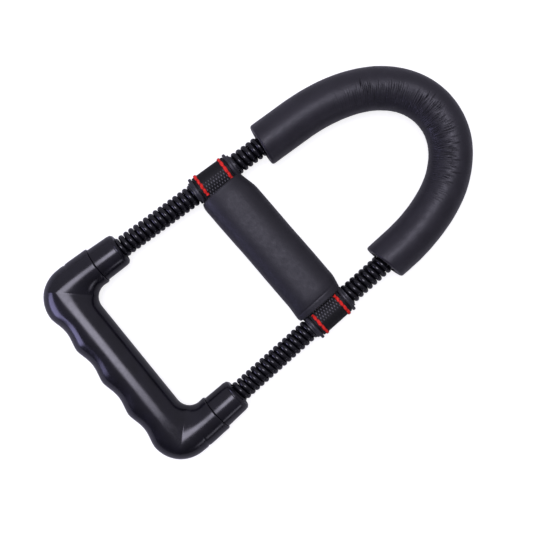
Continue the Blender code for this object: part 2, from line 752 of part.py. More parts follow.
def make_pad_strap(name, anchor):
    """Middle strap: its ends lie between the two layers of each webbing loop."""
    mesh = bpy.data.meshes.new(name)
    work = bmesh.new()
    bmesh.ops.create_cube(work, size=1.0)
    length = PAD_LENGTH - WEB_TAIL_IN_PAD
    bmesh.ops.scale(work, vec=(WEB_WIDTH, WEB_THICKNESS, length), verts=work.verts)
    work.to_mesh(mesh)
    work.free()
    strap = bpy.data.objects.new(name, mesh)
    place(strap, WEBBING, pad_frame(), anchor)


# ---- the moving groups, each under an empty on its joint's axis ----

SPOOL_END = SPOOL_HALF_LENGTH + SPOOL_HUB_LENGTH
BEND_TOP_Y = min(LEFT_SPOOL_Y, RIGHT_SPOOL_Y) - SPOOL_END - PAD_TRAVEL_DOWN
UPPER_BEND_SHARE = 0.25
LOWER_BEND_SHARE = 0.75
UPPER_BEND_Y = BEND_TOP_Y + (COLLAR_FACE_Y - BEND_TOP_Y) * UPPER_BEND_SHARE
LOWER_BEND_Y = BEND_TOP_Y + (COLLAR_FACE_Y - BEND_TOP_Y) * LOWER_BEND_SHARE


def make_fixed_frame():
    make_forearm_bar()
    make_foam_sleeve()
    make_bar_plug("bar_plug_left", -1)
    make_bar_plug("bar_plug_right", 1)


def make_springs():
    anchor = make_anchor("upper_bend_axis", Matrix.Translation((0, UPPER_BEND_Y, MID_Z)))
    make_spring("spring_left", -1, anchor)
    make_spring("spring_right", 1, anchor)


def make_handle():
    anchor = make_anchor("lower_bend_axis", Matrix.Translation((0, LOWER_BEND_Y, MID_Z)))
    make_core_rod("handle_core_rod", anchor)
    make_collar("collar_left", -1, anchor)
    make_collar("collar_right", 1, anchor)
    make_grip_shell("grip_shell_front", 1, anchor)
    make_grip_shell("grip_shell_back", -1, anchor)


def make_slider(label, side, y):
    matrix = spring_frame(side, along_spring(y))
    anchor = make_anchor(f"slider_{label}_axis", matrix)
    make_spool(f"spool_{label}", matrix, anchor)
    make_webbing(f"webbing_loop_{label}", y, matrix, anchor)
    make_stitch_row(f"stitch_row_{label}_lower", y, -1, matrix, anchor)
    make_stitch_row(f"stitch_row_{label}_upper", y, 1, matrix, anchor)


def make_cross_pad():
    anchor = make_anchor("pad_travel_axis", Matrix.Translation(PAD_CENTRE))
    make_pad("pad_foam", anchor)
    make_pad_strap("pad_strap", anchor)


def main():
    make_fixed_frame()
    make_springs()
    make_handle()
    make_slider("left", -1, LEFT_SPOOL_Y)
    make_slider("right", 1, RIGHT_SPOOL_Y)
    make_cross_pad()


main()
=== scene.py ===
import json
import math

import bmesh
import bpy
import numpy as np
from mathutils import Matrix, Vector


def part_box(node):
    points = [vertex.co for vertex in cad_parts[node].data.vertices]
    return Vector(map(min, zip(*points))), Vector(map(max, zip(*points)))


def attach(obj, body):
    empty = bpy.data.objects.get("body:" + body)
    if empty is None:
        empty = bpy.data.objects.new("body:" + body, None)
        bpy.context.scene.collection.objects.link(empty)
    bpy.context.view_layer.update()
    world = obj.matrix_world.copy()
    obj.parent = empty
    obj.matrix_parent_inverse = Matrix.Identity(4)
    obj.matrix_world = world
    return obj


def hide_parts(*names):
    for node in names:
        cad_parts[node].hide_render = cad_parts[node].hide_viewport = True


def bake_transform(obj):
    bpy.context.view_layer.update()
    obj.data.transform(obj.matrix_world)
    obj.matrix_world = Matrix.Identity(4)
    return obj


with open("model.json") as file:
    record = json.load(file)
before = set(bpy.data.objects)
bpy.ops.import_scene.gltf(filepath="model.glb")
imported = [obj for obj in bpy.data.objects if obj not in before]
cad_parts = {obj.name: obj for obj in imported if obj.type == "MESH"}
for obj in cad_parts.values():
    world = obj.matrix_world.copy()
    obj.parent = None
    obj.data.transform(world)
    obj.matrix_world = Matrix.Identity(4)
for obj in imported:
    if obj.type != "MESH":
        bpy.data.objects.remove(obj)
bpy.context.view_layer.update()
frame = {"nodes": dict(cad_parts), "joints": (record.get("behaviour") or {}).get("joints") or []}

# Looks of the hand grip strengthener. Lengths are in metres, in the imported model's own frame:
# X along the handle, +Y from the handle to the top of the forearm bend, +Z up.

MM = 0.001
TAU = 2 * math.pi

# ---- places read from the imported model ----

JOINTS = {joint["name"]: joint for joint in frame["joints"]}
UPPER_BEND_Y = JOINTS["upper_bend"]["pos_m"][1]
LOWER_BEND_Y = JOINTS["lower_bend"]["pos_m"][1]
BEND_MIDDLE_Y = (UPPER_BEND_Y + LOWER_BEND_Y) / 2
BEND_HALF = UPPER_BEND_Y - LOWER_BEND_Y
BEND_TOP_Y = BEND_MIDDLE_Y + BEND_HALF
COLLAR_FACE_Y = BEND_MIDDLE_Y - BEND_HALF
SLIDE_AXIS = JOINTS["slider_right_travel"]["axis"]
LEAN = math.atan2(-SLIDE_AXIS[0], SLIDE_AXIS[1])


def box_middle(node):
    low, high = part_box(node)
    return (low + high) / 2


LEFT_SPOOL = box_middle("spool_left")
RIGHT_SPOOL = box_middle("spool_right")
MID_Z = RIGHT_SPOOL.z
SLEEVE_TOP_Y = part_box("forearm_foam_sleeve")[1].y
SLEEVE_CAD_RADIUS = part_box("forearm_foam_sleeve")[1].z - MID_Z
HANDLE_HALF_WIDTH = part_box("grip_shell_front")[1].x
GRIP_OUTER_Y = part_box("grip_shell_front")[0].y
GRIP_HALF_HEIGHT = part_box("grip_shell_front")[1].z - MID_Z

# ---- sizes of the real object that the boxes don't give ----

WIRE_RADIUS = 1.9 * MM
COIL_RADIUS = 5.5 * MM
COIL_PITCH = 4.03 * MM
COIL_IN_COLLAR = 12.0 * MM
COIL_TOP_Y = 60.0 * MM

BAR_STRAIGHT_Y = 56.0 * MM
BAR_LEG_HANDLE = 54.0 * MM
BAR_APEX_HANDLE = 27.0 * MM
SLEEVE_RADIUS = 14.75 * MM
SLEEVE_BORE = 9.05 * MM
SLEEVE_EDGE = 1.6 * MM
CREST_SHIFT = 2.8 * MM
SLEEVE_LEFT_END_Y = 31.0 * MM
SLEEVE_RIGHT_END_Y = 45.6 * MM
SLEEVE_LEFT_SLANT = math.radians(4.2)
SLEEVE_RIGHT_SLANT = math.radians(9.7)

COLLAR_LENGTH = 19.0 * MM
COLLAR_TOP_RADIUS = 11.65 * MM
COLLAR_BASE_RADIUS = 12.15 * MM
COLLAR_LIP = 1.6 * MM
COLLAR_GROOVE = 0.35 * MM
COLLAR_SPIGOT_LENGTH = 9.0 * MM
COLLAR_SPIGOT_RADIUS = 10.65 * MM
COLLAR_BORE = 7.75 * MM
COLLAR_ROD_BORE = 3.7 * MM

ARM_RADIUS = 13.35 * MM
HANDLE_WALL = 2.4 * MM
HANDLE_EDGE = 0.9 * MM
GRIP_INNER_Y = -118.6 * MM
GRIP_AXIS_Y = -134.0 * MM
INNER_CORNER_X = 50.0 * MM
INNER_FILLET = 10.0 * MM
OUTER_CORNER = 23.0 * MM
FINGER_PITCH = 27.4 * MM
FINGER_DEPTH = 2.3 * MM
FINGER_GROOVES_PER_SIDE = 2
GATE_NICK_Y = -121.0 * MM
GATE_NICK_DEPTH = 0.55 * MM
GATE_NICK_WIDTH = 0.7 * MM
PARTING_HALF_GAP = 0.06 * MM
PARTING_EDGE = 0.35 * MM
GAP = 0.3 * MM

SPOOL_HALF_LENGTH = 15.0 * MM
SPOOL_FLANGE_RADIUS = 10.4 * MM
SPOOL_FLANGE = 2.2 * MM
SPOOL_BODY_RADIUS = 8.4 * MM
SPOOL_HUB_LENGTH = 1.4 * MM
SPOOL_HUB_RADIUS = 8.15 * MM
SPOOL_BORE = 7.65 * MM

WEB_WIDTH = 25.0 * MM
WEB_THICKNESS = 0.9 * MM
WEB_FIT = 0.2 * MM
WEB_TAIL_IN_PAD = 14.0 * MM
STITCH_ROW_SPACING = 19.3 * MM
STITCH_PITCH = 3.9 * MM

PAD_LENGTH = 101.0 * MM
PAD_WIDTH = 36.0 * MM
PAD_HEIGHT = 29.0 * MM
PAD_BORE_WIDTH = 30.0 * MM
PAD_BORE_HALF_HEIGHT = 6.6 * MM
PAD_SPOOL_ROOM = 11.4 * MM
PAD_HUB_ROOM = 9.2 * MM
PAD_CORNER_START = 15.2 * MM
PAD_CORNER_END = 16.4 * MM


# ---- materials: every colour, roughness and relief comes from nodes in the object's own space ----

class Surface:
    """A Principled material with short calls for the nodes that drive it."""

    def __init__(self, name, **sockets):
        self.material = bpy.data.materials.new(name)
        self.material.use_nodes = True
        self.tree = self.material.node_tree
        self.shader = self.tree.nodes["Principled BSDF"]
        self.place = self.node("ShaderNodeTexCoord").outputs["Object"]
        for socket, value in sockets.items():
            self.shader.inputs[socket.replace("_", " ")].default_value = value

    def node(self, kind, **settings):
        made = self.tree.nodes.new(kind)
        for key, value in settings.items():
            setattr(made, key, value)
        return made

    def link(self, source, target):
        self.tree.links.new(source, target)

    def noise(self, size, detail=3.0, stretch=(1, 1, 1), distortion=0.0):
        """Noise whose blotches are about size across, in metres."""
        mapping = self.node("ShaderNodeMapping")
        mapping.inputs["Scale"].default_value = stretch
        self.link(self.place, mapping.inputs["Vector"])
        made = self.node("ShaderNodeTexNoise")
        made.inputs["Scale"].default_value = 1 / size
        made.inputs["Detail"].default_value = detail
        made.inputs["Distortion"].default_value = distortion
        self.link(mapping.outputs["Vector"], made.inputs["Vector"])
        return made.outputs["Fac"]

    def cells(self, size):
        made = self.node("ShaderNodeTexVoronoi")
        made.inputs["Scale"].default_value = 1 / size
        self.link(self.place, made.inputs["Vector"])
        return made.outputs["Distance"]

    def attribute(self, name):
        return self.node("ShaderNodeAttribute", attribute_name=name).outputs["Fac"]

    def spread(self, source, low, high, start=0.3, end=0.7):
        """Source mapped from start..end to low..high."""
        made = self.node("ShaderNodeMapRange")
        for socket, value in (("From Min", start), ("From Max", end), ("To Min", low), ("To Max", high)):
            made.inputs[socket].default_value = value
        self.link(source, made.inputs["Value"])
        return made.outputs["Result"]

    def mix(self, share, first, second):
        """Colour between two colours, or between a linked colour and a second one."""
        made = self.node("ShaderNodeMix", data_type="RGBA")
        self.link(share, made.inputs["Factor"])
        for socket, value in ((made.inputs["A"], first), (made.inputs["B"], second)):
            target = made.inputs[6 if socket == made.inputs["A"] else 7]
            if isinstance(value, bpy.types.NodeSocket):
                self.link(value, target)
            else:
                target.default_value = (*value, 1.0)
        return made.outputs[2]

    def bump(self, height, distance, strength=1.0, below=None):
        made = self.node("ShaderNodeBump")
        made.inputs["Distance"].default_value = distance
        made.inputs["Strength"].default_value = strength
        self.link(height, made.inputs["Height"])
        if below is not None:
            self.link(below, made.inputs["Normal"])
        return made.outputs["Normal"]

    def use(self, **sockets):
        for socket, source in sockets.items():
            self.link(source, self.shader.inputs[socket.replace("_", " ")])
        return self.material


def gloss_plastic():
    """Glossy black moulding: nearly mirror smooth, with faint flow marks and handling haze."""
    look = Surface("gloss_black_moulding", IOR=1.5)
    haze = look.noise(9 * MM, 4)
    colour = look.mix(look.spread(haze, 0, 1), (0.0035, 0.0032, 0.0055), (0.0075, 0.0070, 0.0115))
    fine = look.noise(0.9 * MM, 3)
    rough = look.spread(look.noise(3 * MM, 5), 0.15, 0.23)
    flow = look.bump(look.noise(14 * MM, 2), 0.10 * MM, 0.6)
    return look.use(Base_Color=colour, Roughness=rough, Normal=look.bump(fine, 0.006 * MM, 0.6, flow))


def satin_plastic():
    """Moulded spool: dark grey nylon with a fine satin grain."""
    look = Surface("satin_black_moulding", IOR=1.5)
    colour = look.mix(look.spread(look.noise(4 * MM, 3), 0, 1), (0.016, 0.016, 0.020), (0.030, 0.030, 0.036))
    rough = look.spread(look.noise(1.5 * MM, 4), 0.34, 0.48)
    return look.use(Base_Color=colour, Roughness=rough, Normal=look.bump(look.noise(0.35 * MM, 2), 0.02 * MM))


def spring_paint():
    """Black paint on spring wire: glossy and a little uneven in tone."""
    look = Surface("black_spring_paint", IOR=1.5)
    cloud = look.spread(look.noise(2 * MM, 4), 0, 1)
    colour = look.mix(cloud, (0.0022, 0.0021, 0.0035), (0.006, 0.0058, 0.009))
    rough = look.spread(look.noise(1.2 * MM, 4), 0.15, 0.23)
    ripple = look.bump(look.noise(0.8 * MM, 3), 0.012 * MM, 0.5)
    return look.use(Base_Color=colour, Roughness=rough, Normal=ripple)


def bare_steel():
    """Drawn steel: fine lines, light oil stains."""
    look = Surface("bare_steel", Metallic=1.0)
    stain = look.spread(look.noise(6 * MM, 4), 0, 1)
    colour = look.mix(stain, (0.32, 0.31, 0.31), (0.50, 0.50, 0.52))
    lines = look.noise(0.5 * MM, 4, stretch=(6, 0.3, 6))
    rough = look.spread(look.noise(1.5 * MM, 4), 0.25, 0.45)
    return look.use(Base_Color=colour, Roughness=rough, Normal=look.bump(lines, 0.02 * MM, 0.5))


def foam_skin(name, dark, light, roughness, pore=0.35 * MM):
    """Closed skin of charcoal foam: soft sheen, fine pores, cloudy tone and painted shade in its creases."""
    look = Surface(name, IOR=1.45, Sheen_Weight=0.08, Sheen_Roughness=0.5)
    # Painted shade: the creases are darkened by their depth, which the mesh carries per point.
    crease_shade = look.spread(look.attribute("highlight_shade_mask"), 0, 1, 0.05, 0.8)
    cloud = look.spread(look.noise(11 * MM, 4), 0, 1)
    speck = look.spread(look.noise(pore * 1.6, 3), 0, 0.35)
    colour = look.mix(speck, look.mix(cloud, dark, light), (light[0] * 1.5, light[1] * 1.5, light[2] * 1.5))
    colour = look.mix(crease_shade, colour, (dark[0] * 0.25, dark[1] * 0.25, dark[2] * 0.25))
    rough = look.spread(look.noise(2.5 * MM, 4), roughness - 0.05, roughness + 0.06)
    skin = look.bump(look.noise(2.4 * MM, 4), 0.06 * MM, 0.6)
    pores = look.bump(look.cells(pore), 0.03 * MM, 0.7, skin)
    return look.use(Base_Color=colour, Roughness=rough, Normal=pores)


def webbing_cloth():
    """Black nylon webbing, with a painted highlight on the yarns that stand proud of the weave."""
    look = Surface("black_webbing", IOR=1.4)
    # Painted highlight: yarns high in the weave are mixed towards light grey.
    yarn_highlight = look.spread(look.attribute("highlight_shade_mask"), 0, 1, 0.68, 0.98)
    fibre = look.noise(0.18 * MM, 3, stretch=(1, 1, 1))
    base = look.mix(look.spread(fibre, 0, 1), (0.0015, 0.0015, 0.002), (0.005, 0.005, 0.006))
    colour = look.mix(yarn_highlight, base, (0.24, 0.24, 0.26))
    rough = look.spread(look.noise(0.4 * MM, 3), 0.52, 0.72)
    return look.use(Base_Color=colour, Roughness=rough, Normal=look.bump(fibre, 0.04 * MM))


def red_thread():
    """Bonded polyester thread: bright red plies, with painted shade in the hollows between them."""
    look = Surface("red_thread", IOR=1.4)
    # Painted shade: low sides of the plies and the stitch ends are mixed towards dark red.
    ply_shade = look.spread(look.attribute("highlight_shade_mask"), 0, 1, 0.1, 0.75)
    shade = look.mix(look.spread(look.noise(0.5 * MM, 4), 0, 1), (0.78, 0.012, 0.008), (1.0, 0.035, 0.022))
    colour = look.mix(ply_shade, (0.24, 0.003, 0.003), shade)
    rough = look.spread(look.noise(0.4 * MM, 3), 0.38, 0.58)
    return look.use(Base_Color=colour, Roughness=rough, Normal=look.bump(look.noise(0.12 * MM, 3), 0.03 * MM))


GLOSS = gloss_plastic()
SATIN = satin_plastic()
PAINT = spring_paint()
STEEL = bare_steel()
SLEEVE_SKIN = foam_skin("sleeve_foam", (0.0105, 0.0097, 0.0135), (0.0185, 0.0172, 0.0225), 0.43)
PAD_SKIN = foam_skin("pad_foam_cover", (0.0098, 0.0093, 0.0125), (0.0155, 0.0148, 0.0185), 0.50, 0.28 * MM)
WEB_CLOTH = webbing_cloth()
THREAD = red_thread()


# ---- mesh helpers ----

def shell(rows, looped=False, capped=False):
    """Points and faces of a skin over closed rings; rows has one ring per row."""
    rows = np.asarray(rows, float)
    count, around = rows.shape[:2]
    here = np.arange(count if looped else count - 1)[:, None]
    following = (here + 1) % count
    k = np.arange(around)
    n = (k + 1) % around
    corners = (here * around + k, here * around + n, following * around + n, following * around + k)
    faces = np.stack(corners, axis=-1).reshape(-1, 4).tolist()
    if capped:
        faces.append(list(range(around)))
        faces.append(list(range((count - 1) * around, count * around))[::-1])
    return rows.reshape(-1, 3), faces


def build(name, shells, material, sharp=math.radians(40), highlight_shade_mask=None):
    """One object from several skins, smooth shaded, its faces pointing out."""
    points = []
    faces = []
    for spots, polygons in shells:
        first = len(points)
        points += spots.tolist()
        faces += [[first + corner for corner in polygon] for polygon in polygons]
    mesh = bpy.data.meshes.new(name)
    mesh.from_pydata(points, [], faces)
    # Per-point mask for the painted highlight and shade that the materials mix in.
    if highlight_shade_mask is not None:
        attribute = mesh.attributes.new("highlight_shade_mask", "FLOAT", "POINT")
        attribute.data.foreach_set("value", np.asarray(highlight_shade_mask, np.float32).ravel())
    work = bmesh.new()
    work.from_mesh(mesh)
    bmesh.ops.recalc_face_normals(work, faces=work.faces)
    work.to_mesh(mesh)
    work.free()
    mesh.materials.append(material)
    mesh.shade_smooth()
    mesh.set_sharp_from_angle(angle=sharp)
    item = bpy.data.objects.new(name, mesh)
    bpy.context.scene.collection.objects.link(item)
    return item


def half_spacing(y):
    """Distance from the middle of the tool to a spring's axis at height y."""
    return RIGHT_SPOOL.x - (y - RIGHT_SPOOL.y) * math.tan(LEAN)


def spring_frame(side, y):
    """Origin and axes on a spring: first axis outwards, third axis up the spring."""
    up = np.array((-side * math.sin(LEAN), math.cos(LEAN), 0))
    out = np.array((side * math.cos(LEAN), math.sin(LEAN), 0))
    return np.array((side * half_spacing(y), y, MID_Z)), out, np.cross(up, out), up


def to_world(spots, axes):
    origin, out, third, up = axes
    spots = np.asarray(spots, float)
    return origin + spots[..., :1] * out + spots[..., 1:2] * third + spots[..., 2:3] * up


def rounded(corners, steps=5):
    """Closed outline through (x, y, radius) corners, each radius drawn as an arc."""
    outline = []
    for i, (x, y, radius) in enumerate(corners):
        corner = np.array((x, y))
        before = np.array(corners[i - 1][:2]) - corner
        after = np.array(corners[(i + 1) % len(corners)][:2]) - corner
        if radius == 0:
            outline.append(corner)
            continue
        reach = min(radius, 0.45 * np.linalg.norm(before), 0.45 * np.linalg.norm(after))
        start = corner + before / np.linalg.norm(before) * reach
        end = corner + after / np.linalg.norm(after) * reach
        for k in range(steps + 1):
            share = k / steps
            outline.append(start * (1 - share) ** 2 + corner * 2 * share * (1 - share) + end * share**2)
    return np.array(outline)


def turned(outline, steps=128):
    """Rings of a solid of revolution from a closed (radius, height) outline."""
    angle = np.arange(steps) / steps * TAU
    radius = outline[:, :1]
    height = np.repeat(outline[:, 1:], steps, axis=1)
    return np.stack((radius * np.cos(angle), radius * np.sin(angle), height), axis=-1)


def waves(spots, length, seed, count=7):
    """Smooth unevenness between -1 and 1, with bumps about length across."""
    rng = np.random.default_rng(seed)
    total = np.zeros(spots.shape[:-1])
    for _ in range(count):
        direction = rng.normal(size=3)
        direction *= TAU / (length * rng.uniform(0.7, 1.6)) / np.linalg.norm(direction)
        total += np.sin(spots @ direction + rng.uniform(0, TAU))
    return total / count**0.5 / 1.5


def smoothstep(value, start, end):
    share = np.clip((value - start) / (end - start), 0, 1)
    return share * share * (3 - 2 * share)


def tube(line, radius, sides, capped=True):
    """Rings round a line; radius is one value or one per point."""
    line = np.asarray(line, float)
    along = np.gradient(line, axis=0)
    along /= np.linalg.norm(along, axis=1)[:, None]
    side = np.cross(along[0], (0.0, 0.0, 1.0))
    if np.linalg.norm(side) < 0.1:
        side = np.cross(along[0], (1.0, 0.0, 0.0))
    angle = np.arange(sides) / sides * TAU
    radius = np.broadcast_to(radius, len(line))
    rows = []
    for spot, direction, size in zip(line, along, radius):
        side = side - direction * (side @ direction)
        side /= np.linalg.norm(side)
        other = np.cross(direction, side)
        rows.append(spot + size * (np.cos(angle)[:, None] * side + np.sin(angle)[:, None] * other))
    return shell(rows, capped=capped)


# ---- foam sleeve on the forearm bend ----

class BendLine:
    """Centre line of the forearm bar, by distance along it from the left leg's sleeve end."""

    def __init__(self, spare=12 * MM, steps=600):
        start = np.array((half_spacing(BAR_STRAIGHT_Y), BAR_STRAIGHT_Y))
        up = np.array((-math.sin(LEAN), math.cos(LEAN)))
        apex = np.array((0.0, SLEEVE_TOP_Y - SLEEVE_CAD_RADIUS))
        first = start + up * BAR_LEG_HANDLE
        second = apex + np.array((BAR_APEX_HANDLE, 0.0))
        share = np.linspace(0, 1, steps)[:, None]
        rest = 1 - share
        quarter = start * rest**3 + first * 3 * rest**2 * share
        quarter = quarter + second * 3 * rest * share**2 + apex * share**3
        right_low = start - up * (BAR_STRAIGHT_Y - SLEEVE_RIGHT_END_Y) / up[1]
        left_low = start - up * (BAR_STRAIGHT_Y - SLEEVE_LEFT_END_Y) / up[1]
        ends = [low - up * spare for low in (left_low, right_low)]
        flip = np.array((-1.0, 1.0))
        left = (ends[0] * flip, left_low * flip, quarter * flip)
        line = np.vstack((*left, quarter[-2::-1], right_low, ends[1]))
        length = np.concatenate(([0], np.cumsum(np.linalg.norm(np.diff(line, axis=0), axis=1))))
        self.spare = spare
        self.length = length[-1] - 2 * spare
        self.marks = np.linspace(0, length[-1], 4 * steps)
        self.x = np.interp(self.marks, length, line[:, 0])
        self.y = np.interp(self.marks, length, line[:, 1])
        self.heading = np.unwrap(np.arctan2(np.gradient(self.y), np.gradient(self.x)))
        smooth = np.ones(25) / 25
        padded = np.pad(self.heading, 12, mode="edge")
        self.heading = np.convolve(padded, smooth, mode="valid")

    def at(self, distance):
        """Centre and outward direction at distances along the line."""
        mark = distance + self.spare
        centre = np.stack((np.interp(mark, self.marks, self.x), np.interp(mark, self.marks, self.y)), axis=-1)
        heading = np.interp(mark, self.marks, self.heading)
        return centre, np.stack((-np.sin(heading), np.cos(heading)), axis=-1)

    def turn(self, distance):
        """Heading at a distance: 90 degrees on the left leg, 0 at the apex, -90 on the right leg."""
        return np.degrees(np.interp(distance + self.spare, self.marks, self.heading))


# For each band: strength, its middle round the tube in degrees, seed, and the bar's turn in degrees that it
# centres on, with how far either side of that it stays full and where it has faded away.
CREASE_BANDS = (
    (1.0, 107, 3, (2, 56, 80)),
    (0.8, 133, 17, (0, 52, 80)),
    (1.0, -107, 5, (2, 56, 80)),
    (0.6, -130, 23, (0, 42, 70)),
    (0.5, 180, 11, (0, 40, 70)),
)


def crease_field(line, distance, angle, centre_angle, seed, turn_limits):
    """Depth of the creases that the bend presses into the foam, over a grid of distance and angle."""
    rng = np.random.default_rng(seed)
    depth = np.zeros((len(distance), len(angle)))
    gap = (angle - centre_angle + math.pi) % TAU - math.pi
    spot = 0.0
    while spot < line.length:
        spot += rng.uniform(1.1, 1.9) * MM
        middle = rng.normal(0, math.radians(8))
        reach = math.radians(rng.uniform(14, 27))
        width = rng.uniform(0.22, 0.34) * MM
        slope = rng.uniform(-0.5, 0.5) * MM
        hook = rng.uniform(-0.35, 0.35) * MM
        deep = rng.uniform(0.18, 0.52) * MM
        turn = float(line.turn(np.array(spot)))
        strength = 1 - smoothstep(abs(turn - turn_limits[0]), turn_limits[1], turn_limits[2])
        if strength <= 0:
            continue
        rows = np.abs(distance - spot) < 5 * MM
        across = (gap - middle) / reach
        fade = np.clip(1 - across**2, 0, 1) ** 1.5
        shift = distance[rows][:, None] - spot - slope * across - hook * across**2
        depth[rows] = np.maximum(depth[rows], strength * deep * fade * np.exp(-((shift / width) ** 2)))
    return depth


def make_sleeve():
    """Foam tube over the bend: creased where the bend squeezes it, smooth on its outer side."""
    line = BendLine()
    around = 120
    angle = np.arange(around) / around * TAU
    outer_steps = int(line.length / (0.26 * MM))
    distance = np.linspace(SLEEVE_EDGE, line.length - SLEEVE_EDGE, outer_steps)
    bands = [
        strength * crease_field(line, distance, angle, math.radians(centre), seed, extent)
        for strength, centre, seed, extent in CREASE_BANDS
    ]
    creases = np.maximum.reduce(bands)
    radius = SLEEVE_RADIUS - creases
    bend = 1 - smoothstep(np.abs(line.turn(distance)), 55, 88)
    radius -= 0.35 * MM * bend[:, None] * np.clip(-np.cos(angle), 0, 1) ** 2
    arc = np.linspace(0, math.pi / 2, 7)[1:]
    edge = [(SLEEVE_EDGE * (1 - math.sin(a)), SLEEVE_RADIUS - SLEEVE_EDGE * (1 - math.cos(a))) for a in arc]
    wall = [(0.0, r) for r in np.linspace(SLEEVE_RADIUS - SLEEVE_EDGE, SLEEVE_BORE + 0.6 * MM, 6)[1:]]
    mouth = edge + wall + [(0.6 * MM, SLEEVE_BORE)]
    bore = [(d, SLEEVE_BORE) for d in np.linspace(2 * MM, line.length - 2 * MM, 160)]
    last = [(line.length - d, r) for d, r in mouth]
    plain = np.array(last + bore[::-1] + mouth[::-1])
    rows_distance = np.concatenate((distance, plain[:, 0]))
    rows_radius = np.vstack((radius, np.repeat(plain[:, 1:], around, axis=1)))
    squeeze = CREST_SHIFT * (1 - smoothstep(np.abs(line.turn(rows_distance)), 15, 85))
    outward = rows_radius * np.cos(angle) + squeeze[:, None] * np.sin(angle) ** 2
    left = 1 - smoothstep(rows_distance, 0, 22 * MM)
    right = smoothstep(rows_distance, line.length - 22 * MM, line.length)
    slant = math.tan(SLEEVE_LEFT_SLANT) * left - math.tan(SLEEVE_RIGHT_SLANT) * right
    centre, out = line.at(rows_distance[:, None] + slant[:, None] * outward)
    flat = centre + out * outward[..., None]
    rows = np.concatenate((flat, (MID_Z + rows_radius * np.sin(angle))[..., None]), axis=-1)
    spots = rows - np.array((0, 0, MID_Z))
    rise = 0.10 * MM * waves(spots, 30 * MM, 2) + 0.035 * MM * waves(spots, 7 * MM, 4)
    count = len(distance)
    upward = np.sin(angle)[None, :, None].repeat(len(rows), 0)
    normal = np.concatenate((out * np.cos(angle)[:, None], upward), axis=-1)
    rows[:count] += normal[:count] * rise[:count, :, None]
    # Crease depth, kept on the mesh for the painted shade that darkens the creases.
    highlight_shade_mask = np.zeros(rows.shape[:2])
    highlight_shade_mask[:count] = creases / (0.5 * MM)
    sleeve = build("foam_sleeve", [shell(rows, looped=True)], SLEEVE_SKIN, math.radians(80), highlight_shade_mask)
    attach(sleeve, "frame")
    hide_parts("forearm_foam_sleeve")


# ---- springs ----

def coil_rows(low, high, side, phase=0.0, per_turn=36, sides=14):
    """Rings of the wire between two distances from the collar's face along the spring."""
    base = -COIL_IN_COLLAR
    count = int((high - low) / COIL_PITCH * per_turn) + 1
    height = np.linspace(low, high, count)
    angle = TAU * (height - base) / COIL_PITCH + phase
    radial = np.stack((np.cos(angle), np.sin(angle), np.zeros(count)), axis=-1)
    swing = np.stack((-np.sin(angle), np.cos(angle), np.zeros(count)), axis=-1)
    slope = COIL_PITCH / TAU / COIL_RADIUS
    third = np.array((0, 0, 1.0)) - swing * slope
    third /= np.linalg.norm(third[0])
    centre = COIL_RADIUS * radial
    centre[:, 2] = height
    round_wire = np.arange(sides) / sides * TAU
    rows = centre[:, None] + WIRE_RADIUS * (
        np.cos(round_wire)[:, None] * radial[:, None] + np.sin(round_wire)[:, None] * third[:, None]
    )
    return to_world(rows, spring_frame(side, COLLAR_FACE_Y))


def make_spring(label, side):
    """Coil in two pieces that meet at the middle of the bend."""
    middle = BEND_HALF / math.cos(LEAN)
    top = (COIL_TOP_Y - COLLAR_FACE_Y) / math.cos(LEAN)
    spans = {
        "lower": (-COIL_IN_COLLAR, middle, "springs", "handle", BEND_MIDDLE_Y, COLLAR_FACE_Y),
        "upper": (middle, top, "frame", "springs", BEND_TOP_Y, BEND_MIDDLE_Y),
    }
    for part, (low, high, first, second, start_y, end_y) in spans.items():
        rows = coil_rows(low, high, side)
        coil = build(f"coil_{label}_{part}", [shell(rows, capped=True)], PAINT, sharp=math.radians(60))
        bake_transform(coil)
        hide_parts(f"spring_{label}")


# ---- handle: collars and two moulded halves ----

def make_collar(label, side):
    """Ferrule: a chamfered lip with a fine groove under it, and the spigot inside the arm."""
    seat = -(COIL_IN_COLLAR + WIRE_RADIUS + GAP)
    base = -(COLLAR_LENGTH + COLLAR_SPIGOT_LENGTH)
    neck = COLLAR_TOP_RADIUS - COLLAR_GROOVE
    outline = rounded([
        (COLLAR_BORE, 0, 0.4 * MM),
        (COLLAR_TOP_RADIUS - COLLAR_LIP, 0, 0.5 * MM),
        (COLLAR_TOP_RADIUS - 0.1 * MM, -COLLAR_LIP, 0.35 * MM),
        (neck, -COLLAR_LIP - 0.35 * MM, 0.15 * MM),
        (neck, -COLLAR_LIP - 0.75 * MM, 0.15 * MM),
        (COLLAR_TOP_RADIUS, -COLLAR_LIP - 1.1 * MM, 0.3 * MM),
        (COLLAR_BASE_RADIUS, -COLLAR_LENGTH + 0.1 * MM, 0.35 * MM),
        (COLLAR_SPIGOT_RADIUS, -COLLAR_LENGTH + 0.1 * MM, 0),
        (COLLAR_SPIGOT_RADIUS, base, 0.4 * MM),
        (COLLAR_ROD_BORE, base, 0),
        (COLLAR_ROD_BORE, seat, 0),
        (COLLAR_BORE, seat, 0),
    ])
    rows = to_world(turned(outline), spring_frame(side, COLLAR_FACE_Y))
    collar = build(f"collar_{label}_moulding", [shell(rows, looped=True)], GLOSS)
    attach(collar, "handle")
    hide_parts(f"collar_{label}")


def finger_wave(x):
    """Depth of the finger grooves at x: wide hollows between narrower rounded peaks."""
    wave = 0.5 - 0.5 * np.cos(TAU * x / FINGER_PITCH)
    inside = np.abs(x) < FINGER_GROOVES_PER_SIDE * FINGER_PITCH
    return np.where(inside, FINGER_DEPTH * wave**0.8, 0.0)


